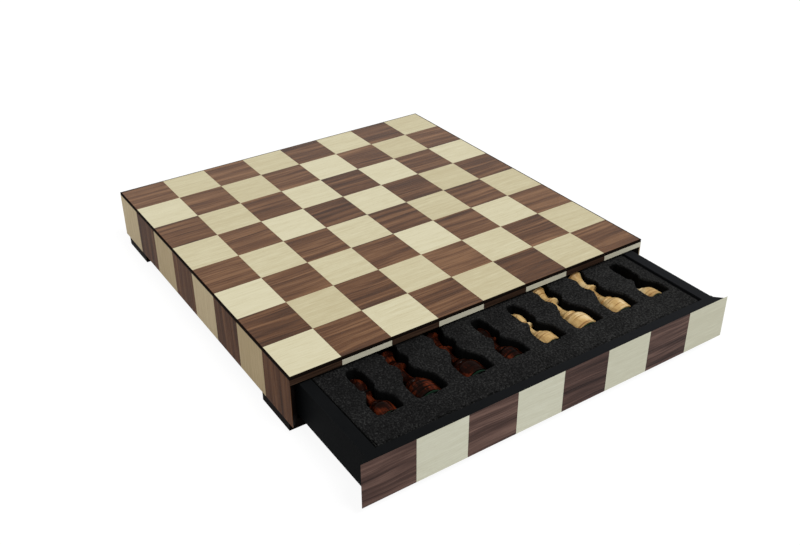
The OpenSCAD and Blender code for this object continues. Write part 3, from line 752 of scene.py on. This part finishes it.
# %% [markdown]
# ## Boxwood
# The light men are boxwood under clear polish, the dark ones are the same wood stained
# red-brown and polished higher. On both, the grain runs along the axis and the lathe
# leaves faint rings round it. Stain gathers in the grooves and is thinner where the wood
# is dense, so its tone wanders.

# %% Make the two boxwoods
def boxwood(name, tones, roughness, coat_weight, coat_roughness, polish):
    finish = Finish(name)
    x, y, z = finish.millimetres()
    ring = finish.cloud(x / 30, y / 1.7, z / 30, 2.0, 0.5)
    vein = finish.cloud(x / 1.1, y / 22, z / 1.1, 3.0, 0.6)
    drift = finish.cloud(x / 9, y / 16, z / 9, 2.0, 0.5)
    fleck = finish.cloud(x / 0.25, y / 2.0, z / 0.25, 2.0, 0.5)
    tone = 0.5 + (vein - 0.5) * 0.45 + (drift - 0.5) * 1.1 + (fleck - 0.5) * 0.2
    tone = tone - finish.fade(ring, 0.56, 0.7) * 0.4
    colour = finish.ramp(tone, (0.15, tones[0]), (0.5, tones[1]), (0.85, tones[2]))
    gloss = roughness + (vein - 0.5) * 0.12
    fixed = {"Coat_Weight": coat_weight, "Coat_Roughness": coat_roughness, "Specular_IOR_Level": polish}
    return finish.coat(colour, gloss, ring * 0.6 + fleck * 0.25, 0.02, **fixed)


STAINED = (dye(4, 2, 1), dye(29, 10, 5), dye(124, 52, 26))
NATURAL = (dye(146, 106, 58), dye(202, 168, 110), dye(236, 214, 168))
stained = boxwood("stained_boxwood", STAINED, 0.34, 0.045, 0.06, 0.004)
natural = boxwood("natural_boxwood", NATURAL, 0.36, 0.1, 0.2, 0.12)
print("stained and natural boxwood are ready")

# %% [markdown]
# ## Laying the men
# Thirty-two men of six kinds lie in rows, so a small tree of geometry nodes puts a copy of
# the pattern on each point. Its inputs are the points, the pattern, the wood, how far a
# man may have rolled in its pocket, and a seed, so that the box looks the same each time.
# The foam grips a man by its base, so its head has settled a little high or low, or to one
# side. Each point carries that tilt, and a stretch for the felt discs, which are laid by
# the same tree and tilt with their men.

# %% Build the tree and lay the men
def laying_tree():
    tree = bpy.data.node_groups.new("men_in_pockets", "GeometryNodeTree")
    kinds = {"Pockets": "Geometry", "Man": "Object", "Wood": "Material", "Roll": "Float", "Seed": "Int"}
    for name, kind in kinds.items():
        tree.interface.new_socket(name, in_out="INPUT", socket_type="NodeSocket" + kind)
    tree.interface.new_socket("Men", in_out="OUTPUT", socket_type="NodeSocketGeometry")
    bench = Bench(tree)
    pockets, man, wood, roll, seed = bench.node("NodeGroupInput", output=tuple(kinds))
    copy = bench.node("GeometryNodeObjectInfo", {}, {"Object": man, "As Instance": True}, "Geometry")
    chance = bench.node("FunctionNodeRandomValue", {}, {2: roll * -1, 3: roll, "Seed": seed}, 1)
    tilt, stretch = [
        bench.node("GeometryNodeInputNamedAttribute", {"data_type": "FLOAT_VECTOR"}, {0: name})
        for name in ("tilt", "stretch")]
    lean = bench.node("FunctionNodeEulerToRotation", {}, {0: tilt})
    spin = bench.node("FunctionNodeEulerToRotation", {}, {0: bench.join(0, chance, 0)})
    turn = bench.node("FunctionNodeRotateRotation", {"rotation_space": "LOCAL"}, {0: lean, 1: spin})
    sockets = {"Points": pockets, "Instance": copy, "Rotation": turn, "Scale": stretch}
    laid = bench.node("GeometryNodeInstanceOnPoints", {}, sockets)
    solid = bench.node("GeometryNodeRealizeInstances", {}, {0: laid})
    dressed = bench.node("GeometryNodeSetMaterial", {}, {"Geometry": solid, "Material": wood})
    end = tree.nodes.new("NodeGroupOutput")
    tree.links.new(dressed.socket, end.inputs[0])
    return tree


def set_inputs(modifier, **values):
    """Sets a modifier's inputs by their identifiers."""
    for item in modifier.node_group.interface.items_tree:
        if item.item_type == "SOCKET" and item.in_out == "INPUT" and item.name in values:
            modifier[item.identifier] = values[item.name]


# How far a man's head lies above a level axis, and to its left, in radians
SETTLED = {
    "dark_king": [(0.018, 0)],
    "dark_queen": [(0.02, 0)],
    "dark_bishops": [(0.04, 0), (0.04, 0)],
    "light_king": [(0.066, 0)],
    "light_queen": [(0.078, -0.033)],
    "light_bishops": [(0.035, 0), (-0.04, 0)],
}
settling = random.Random(3)


def settled():
    """A small tilt for a man that has none of his own."""
    return settling.uniform(-0.015, 0.02), settling.uniform(-0.01, 0.01)


PLACES = {}
for node, (kind, boxes) in MEN.items():
    leans = SETTLED.get(node) or [settled() for _ in boxes]
    PLACES[node] = [
        (((a[X] + b[X]) / 2, a[Y], (a[Z] + b[Z]) / 2), (lift, 0, side), (b[Z] - a[Z]) / 2)
        for (a, b), (lift, side) in zip(boxes, leans)]


def lay(name, node, places, pattern, finish, slot, roll=0.0, seed=0, stretched=False):
    """One piece with a copy of the pattern in each place."""
    mesh = bpy.data.meshes.new(name)
    mesh.from_pydata([at for at, _, _ in places], [], [])
    sizes = [(radius, 1, radius) if stretched else (1, 1, 1) for _, _, radius in places]
    for key, values in (("tilt", [tilt for _, tilt, _ in places]), ("stretch", sizes)):
        carried = mesh.attributes.new(key, "FLOAT_VECTOR", "POINT")
        carried.data.foreach_set("vector", [v for value in values for v in value])
    points = new_object(name + "_points", mesh)
    step = points.modifiers.new("laid", "NODES")
    step.node_group = laying_tree_group
    set_inputs(step, Man=pattern, Wood=finish, Roll=roll, Seed=seed)
    bpy.context.view_layer.update()
    piece = new_object(name, finished_mesh(points))
    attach(piece, "drawer")
    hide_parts(node)
    print(f"{name}: {len(places)} laid, {len(piece.data.polygons)} faces")


laying_tree_group = laying_tree()
patterns = {}
for seed, (node, (kind, boxes)) in enumerate(MEN.items()):
    if kind not in patterns:
        a, b = boxes[0]
        pattern = MAKERS[kind]((b[Z] - a[Z]) / 2, b[Y] - a[Y])
        pattern.data.polygons.foreach_set("use_smooth", [True] * len(pattern.data.polygons))
        pattern.data.set_sharp_from_angle(angle=math.radians(38))
        patterns[kind] = pattern
    wood, slot = (stained, "stained_boxwood") if node.startswith("dark") else (natural, "natural_boxwood")
    roll = 0.0 if kind == "knight" else 1.2
    lay(node + "_polished", node, PLACES[node], patterns[kind], wood, slot, roll, seed)
thick = min(b[Y] - a[Y] for a, b in islands("base_felts"))
round_edge = [(0, 0), (0.9, 0), (0.93, 0.1), (0.93, 0.8), (0.9, 1), (0, 1)]
TURNINGS["felt"] = [(h, r, 0) for r, h in round_edge]
patterns["felt"] = turned("felt", 1, -thick)
all_men = sum(PLACES.values(), [])
lay("base_felts_cut", "base_felts", all_men, patterns["felt"], felt, "green_felt", stretched=True)
for pattern in patterns.values():
    bpy.data.objects.remove(pattern)

# %% [markdown]
# ## The foam
# The foam is one soft charcoal sheet with a pocket cut for each man. It was cut by hand, so
# the pockets' edges wander, and their lips are soft. Each pocket's outline is read from the
# solid's top face, its corners are rounded, and it is then followed in small uneven steps.
# Between the outlines, the top is filled with small triangles that dip a little, because
# open foam is never flat.

# %% Read the pockets
FOAM = [n for n in nodes if n.startswith("foam_")]
STEP = 1.2 * MM


def top_rims(node):
    """The outlines of the pockets in a foam solid's top face."""
    build = bmesh.new()
    build.from_mesh(nodes[node].data)
    bmesh.ops.remove_doubles(build, verts=build.verts, dist=0.01 * MM)
    top = max(v.co.z for v in build.verts)
    flat = {f for f in build.faces if all(top - v.co.z < 0.05 * MM for v in f.verts)}
    beside = {}
    for e in build.edges:
        if sum(f in flat for f in e.link_faces) == 1:
            a, b = e.verts
            beside.setdefault(a, []).append(b)
            beside.setdefault(b, []).append(a)
    rims = []
    while beside:
        start = at = next(iter(beside))
        rim, last = [], None
        while at is not None:
            rim.append(at.co.xy.copy())
            ways = [v for v in beside.pop(at) if v is not last and v in beside]
            last, at = at, (ways[0] if ways else None)
        rims.append(rim)
    build.free()
    widths = [max(p.x for p in r) - min(p.x for p in r) for r in rims]
    return [r for r, w in zip(rims, widths) if w < max(widths)]


rims = [rim for node in FOAM for rim in top_rims(node)]
print(len(rims), "pockets")

# %% Round the outlines and step along them
def chaikin(rim, times):
    for _ in range(times):
        cut = []
        for a, b in zip(rim, rim[1:] + rim[:1]):
            cut += [a * 0.75 + b * 0.25, a * 0.25 + b * 0.75]
        rim = cut
    return rim


def stepped(rim, step):
    """The same closed outline in even steps."""
    lengths = [(b - a).length for a, b in zip(rim, rim[1:] + rim[:1])]
    count = round(sum(lengths) / step)
    each, out, i, gone = sum(lengths) / count, [], 0, 0.0
    for k in range(count):
        while gone + lengths[i] < k * each:
            gone += lengths[i]
            i += 1
        share = (k * each - gone) / lengths[i]
        out.append(rim[i].lerp(rim[(i + 1) % len(rim)], share))
    return out


def outward(rim):
    """Unit normals that point out of the outline."""
    area = sum(a.x * b.y - b.x * a.y for a, b in zip(rim, rim[1:] + rim[:1]))
    sign = 1 if area > 0 else -1
    out = []
    for i in range(len(rim)):
        along = rim[(i + 2) % len(rim)] - rim[i - 2]
        out.append(sign * Vector((along.y, -along.x)).normalized())
    return out


def wander(rim, amount):
    """Moves each step in or out, as a knife would in soft foam."""
    out = []
    for p, n in zip(rim, outward(rim)):
        slow = noise.noise(Vector((p.x, p.y, 0)) / (7 * MM))
        quick = noise.noise(Vector((p.x, p.y, 0.3)) / (1.9 * MM))
        out.append(p + n * amount * (slow * 0.9 + quick * 0.5))
    return out


def corner_cut(rim, cut):
    """Cuts a little off each long side's ends, so that rounding stays in the corner."""
    out = []
    for a, b in zip(rim, rim[1:] + rim[:1]):
        span = b - a
        share = min(0.4, cut / span.length) if span.length else 0
        out += [a + span * share, b - span * share]
    return out


def man_in(rim):
    """The kind and the box of the man that lies in a pocket."""
    middle = sum(rim, Vector((0, 0))) / len(rim)
    for kind, boxes in MEN.values():
        for a, b in boxes:
            if a[X] < middle.x < b[X] and a[Y] < middle.y < b[Y]:
                return kind, a, b
    raise ValueError("a pocket without a man")


# The least room beside a man, the most that the foam closes in, and the room before the felt
ROOM = {"left": 1.6 * MM, "right": 0.5 * MM}
SQUEEZE, FRONT_ROOM = 5 * MM, 1.1 * MM
GIRTH_STEPS = 40


def girths(kind):
    """How stout a turned man is at even steps of his height, as shares of his base."""
    line = bowed([(r, h, bow) for h, r, bow in TURNINGS[kind]])
    near = [[p.x for p in line if abs(p.y - i / GIRTH_STEPS) < 0.055] for i in range(GIRTH_STEPS + 1)]
    stout = [max(found or [0.3]) for found in near]
    return [(a + 2 * b + c) / 4 for a, b, c in zip(stout[:1] + stout, stout, stout[1:] + stout[-1:])]


def closed_in(rim):
    """Lets the foam close over the slim parts of a man and open round the stout ones."""
    kind, a, b = man_in(rim)
    if kind == "knight":
        return rim
    axis, radius = (a[X] + b[X]) / 2, (b[Z] - a[Z]) / 2
    shares = [min(max((p.y - a[Y]) / (b[Y] - a[Y]), 0), 1) for p in rim]
    squeezed = {}
    for side, room in ROOM.items():
        squeezed[side] = []
        for i, girth in enumerate(girths(kind)):
            at = i / GIRTH_STEPS
            wide = max(abs(p.x - axis) for p, share in zip(rim, shares) if abs(share - at) < 0.06)
            want = max(radius * girth + room, wide - SQUEEZE)
            squeezed[side].append(1 + soft_step(at, 0.14, 0.28) * (min(want / wide, 1) - 1))
    moved = []
    for p, share in zip(rim, shares):
        side = "right" if p.x > axis else "left"
        forward = FRONT_ROOM * (1 - soft_step(share, 0.01, 0.05))
        pull = squeezed[side][round(share * GIRTH_STEPS)]
        moved.append(Vector((axis + (p.x - axis) * pull, p.y - forward)))
    return moved


even = [stepped(chaikin(corner_cut(rim, 1.6 * MM), 2), STEP) for rim in rims]
pockets = [wander(closed_in(rim), 0.5 * MM) for rim in even]
print("steps on the first pocket:", len(pockets[0]))

# %% Build the foam sheet
LIP = [(0.7, 0.0), (0.22, -0.14), (0.0, -0.6)]


def inside(point, rim):
    """True if a point is within an outline."""
    hit = False
    for a, b in zip(rim, rim[1:] + rim[:1]):
        if (a.y > point.y) != (b.y > point.y):
            if point.x < (b.x - a.x) * (point.y - a.y) / (b.y - a.y) + a.x:
                hit = not hit
    return hit


def dip(p):
    """How far the foam's skin sinks at a point."""
    place = Vector((p.x, p.y, 0))
    wide = noise.noise(place / (9 * MM)) + 0.6 * noise.noise(place / (3 * MM))
    return (0.5 + 0.3 * max(-1, min(1, wide))) * 0.3 * MM


low, high = map(Vector, box_round([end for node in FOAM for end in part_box(node)]))
build = bmesh.new()
flat_points, flat_edges, flat_verts = [], [], []


def ring_of(rim, z):
    return [build.verts.new((p.x, p.y, z)) for p in rim]


def wall(upper, lower):
    for i in range(len(upper)):
        j = (i + 1) % len(upper)
        build.faces.new((upper[i], upper[j], lower[j], lower[i]))


def edge_down(rim, side, floor_z):
    """A soft lip and a wall. Side is 1 for a pocket and -1 for the sheet's own edge."""
    normals = outward(rim)
    rings = []
    for shift, drop in LIP:
        line = [p + n * side * shift * MM for p, n in zip(rim, normals)]
        z = [high.z - (dip(p) if drop == 0 else 0.12 * MM - drop * MM) for p in line]
        rings.append([build.verts.new((p.x, p.y, h)) for p, h in zip(line, z)])
        if drop == 0:
            start = len(flat_points)
            flat_points.extend(line)
            flat_edges.extend((start + i, start + (i + 1) % len(line)) for i in range(len(line)))
            flat_verts.extend(rings[0])
    middle_z = (high.z + floor_z) / 2
    ripple = [noise.noise(Vector((p.x, p.y, 0.7)) / (2 * MM)) for p in rim]
    uneven = [p + n * side * 0.25 * MM * height for p, n, height in zip(rim, normals, ripple)]
    rings.append(ring_of(uneven, middle_z))
    rings.append(ring_of(rim, floor_z))
    for upper, lower in zip(rings, rings[1:]):
        wall(upper, lower)
    build.faces.new(rings[-1])


for rim in pockets:
    edge_down(rim, 1, man_in(rim)[1][Z] - 0.3 * MM)
right, front = high.x - 1.1 * MM, low.y - 0.3 * MM
border = [Vector(corner) for corner in ((low.x, front), (right, front), (right, high.y), (low.x, high.y))]
border = stepped(chaikin(corner_cut(border, 1.5 * MM), 1), STEP)
edge_down(border, -1, low.z)
print(len(flat_points), "points along the lips")

# %% Fill the top between the pockets
GRID = 2.1 * MM
scatter = random.Random(7)
boxes_of_rims = [[pick(p[i] for p in rim) for i in (X, Y) for pick in (min, max)] for rim in pockets]


def in_pocket(point, margin):
    for rim, (x0, x1, y0, y1) in zip(pockets, boxes_of_rims):
        if x0 - margin < point.x < x1 + margin and y0 - margin < point.y < y1 + margin:
            if inside(point, rim):
                return True
            if margin and min((point - p).length_squared for p in rim) < margin ** 2:
                return True
    return False


points = list(flat_points)
for i in range(int((high.x - low.x) / GRID)):
    for j in range(int((high.y - low.y) / GRID)):
        aside, ahead = scatter.uniform(-0.3, 0.3), scatter.uniform(-0.3, 0.3)
        p = Vector((low.x + (i + 0.5 + aside) * GRID, low.y + (j + 0.5 + ahead) * GRID))
        near_border = min(p.x - low.x, high.x - p.x, p.y - low.y, high.y - p.y) < 2 * MM
        if not near_border and not in_pocket(p, 1.8 * MM):
            points.append(p)
solved = delaunay_2d_cdt(points, flat_edges, [], 0, 1e-9)
print(len(points), "points in,", len(solved[0]), "points and", len(solved[2]), "triangles out")
top_verts = []
for at, sources in zip(solved[0], solved[3]):
    first = sources[0] if sources else None
    if first is not None and first < len(flat_verts):
        top_verts.append(flat_verts[first])
    else:
        top_verts.append(build.verts.new((at.x, at.y, high.z - dip(at))))
for corners in solved[2]:
    middle = sum((solved[0][c] for c in corners), Vector((0, 0))) / 3
    if not in_pocket(middle, 0):
        build.faces.new([top_verts[c] for c in corners])
bmesh.ops.triangulate(build, faces=[f for f in build.faces if len(f.verts) > 4])
open_edges = sum(not e.is_manifold for e in build.edges)
foam = shell(build, "foam_sheet")
foam.data.polygons.foreach_set("use_smooth", [True] * len(foam.data.polygons))
foam.data.set_sharp_from_angle(angle=math.radians(50))
print(len(foam.data.polygons), "faces,", open_edges, "open edges")

# %% [markdown]
# Foam under a knife shows torn cells: a fine tangle about a millimetre wide, with matted
# wrinkles between. It is matt all over, and hardly lighter on its high spots. Its pocket walls
# are painted darker below the lip, as painted shade, and the sheet is painted a shade lighter
# towards the right, as a painted sheen.

# %% Finish the foam
def charcoal_foam():
    finish = Finish("charcoal_foam")
    x, y, z = finish.millimetres()
    wrinkle = finish.cloud(x / 1.5, y / 1.9, z / 1.5, 4.0, 0.65)
    tangle = finish.cloud(x / 0.55, y / 0.55, z / 0.55, 3.0, 0.7)
    patch = finish.cloud(x / 18, y / 18, z / 18, 2.0, 0.5)
    relief = wrinkle * 0.65 + tangle * 0.35
    # The last term is a painted sheen: the foam is a shade lighter towards the right.
    tone = relief * 0.9 + patch * 0.1 + (finish.fade(x, low.x / MM, high.x / MM) - 0.6) * 0.04
    skin = finish.ramp(tone, (0.36, dye(8, 8, 8)), (0.49, dye(25, 25, 25)), (0.6, dye(58, 58, 57)))
    # Painted shade: the pocket walls darken to near black below the lip.
    depth = finish.fade(z, high.z / MM - 3.4, high.z / MM - 0.5)
    colour = finish.mix(depth, dye(7, 7, 7), skin)
    return finish.coat(colour, 0.95, relief, 1.6, Specular_IOR_Level=0.05)


foam.data.materials.append(charcoal_foam())
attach(foam, "drawer")
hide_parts(*FOAM)
print("foam finished")

# %% [markdown]
# ## Floor and light
# The box stands on a pale floor in soft light from high on its front: a wide lamp gives
# the faces their different tones, and an even sky fills the shadows. The camera sees the
# floor and the sky as white, and the floor keeps a faint shadow.

# %% Lay the floor and light the box
def floor_finish():
    finish = Finish("floor")
    x, y, z = finish.millimetres()
    mottle = finish.cloud(x / 60, y / 60, z, 3.0, 0.6)
    colour = finish.ramp(mottle, (0.3, dye(203, 203, 203)), (0.7, dye(208, 208, 208)))
    matt = finish.node("ShaderNodeBsdfDiffuse", {}, {"Color": colour})
    glow = finish.node("ShaderNodeEmission", {}, {"Strength": 1.15})
    rays = finish.node("ShaderNodeLightPath", output=("Is Camera Ray", "Is Glossy Ray", "Is Transmission Ray"))
    seen = finish.math("MINIMUM", rays[0] + rays[1] + rays[2], 1.0) * 0.8
    shader = finish.node("ShaderNodeMixShader", {}, {0: seen, 1: matt, 2: glow})
    finish.node("ShaderNodeOutputMaterial", {}, {0: shader})
    return finish.material


floor_mesh = bpy.data.meshes.new("floor")
far = 6.0
floor_mesh.from_pydata([(-far, -far, 0), (far, -far, 0), (far, far, 0), (-far, far, 0)], [], [(0, 1, 2, 3)])
floor_mesh.materials.append(floor_finish())
floor = new_object("floor", floor_mesh)

world = bpy.data.worlds.new("studio")
bpy.context.scene.world = world
world.use_nodes = True
sky = Bench(world.node_tree)
rays = sky.node("ShaderNodeLightPath", output=("Is Camera Ray", "Is Glossy Ray", "Is Transmission Ray"))
seen = sky.math("MINIMUM", rays[0] + rays[1] + rays[2], 1.0)
strength = 0.45 + seen * 0.55
light = sky.node("ShaderNodeBackground", {}, {"Color": (1, 1, 1, 1), "Strength": strength})
end = sky.tree.nodes.new("ShaderNodeOutputWorld")
sky.tree.links.new(light.socket, end.inputs[0])

lamp_data = bpy.data.lights.new("window", "SUN")
lamp_data.energy = 2.0
lamp_data.angle = math.radians(24)
lamp = new_object("window", lamp_data)
lamp.rotation_mode = "QUATERNION"
lamp.rotation_quaternion = Vector((0.15, -0.5, 0.85)).to_track_quat("Z", "Y")
bpy.context.scene.view_settings.view_transform = "Standard"
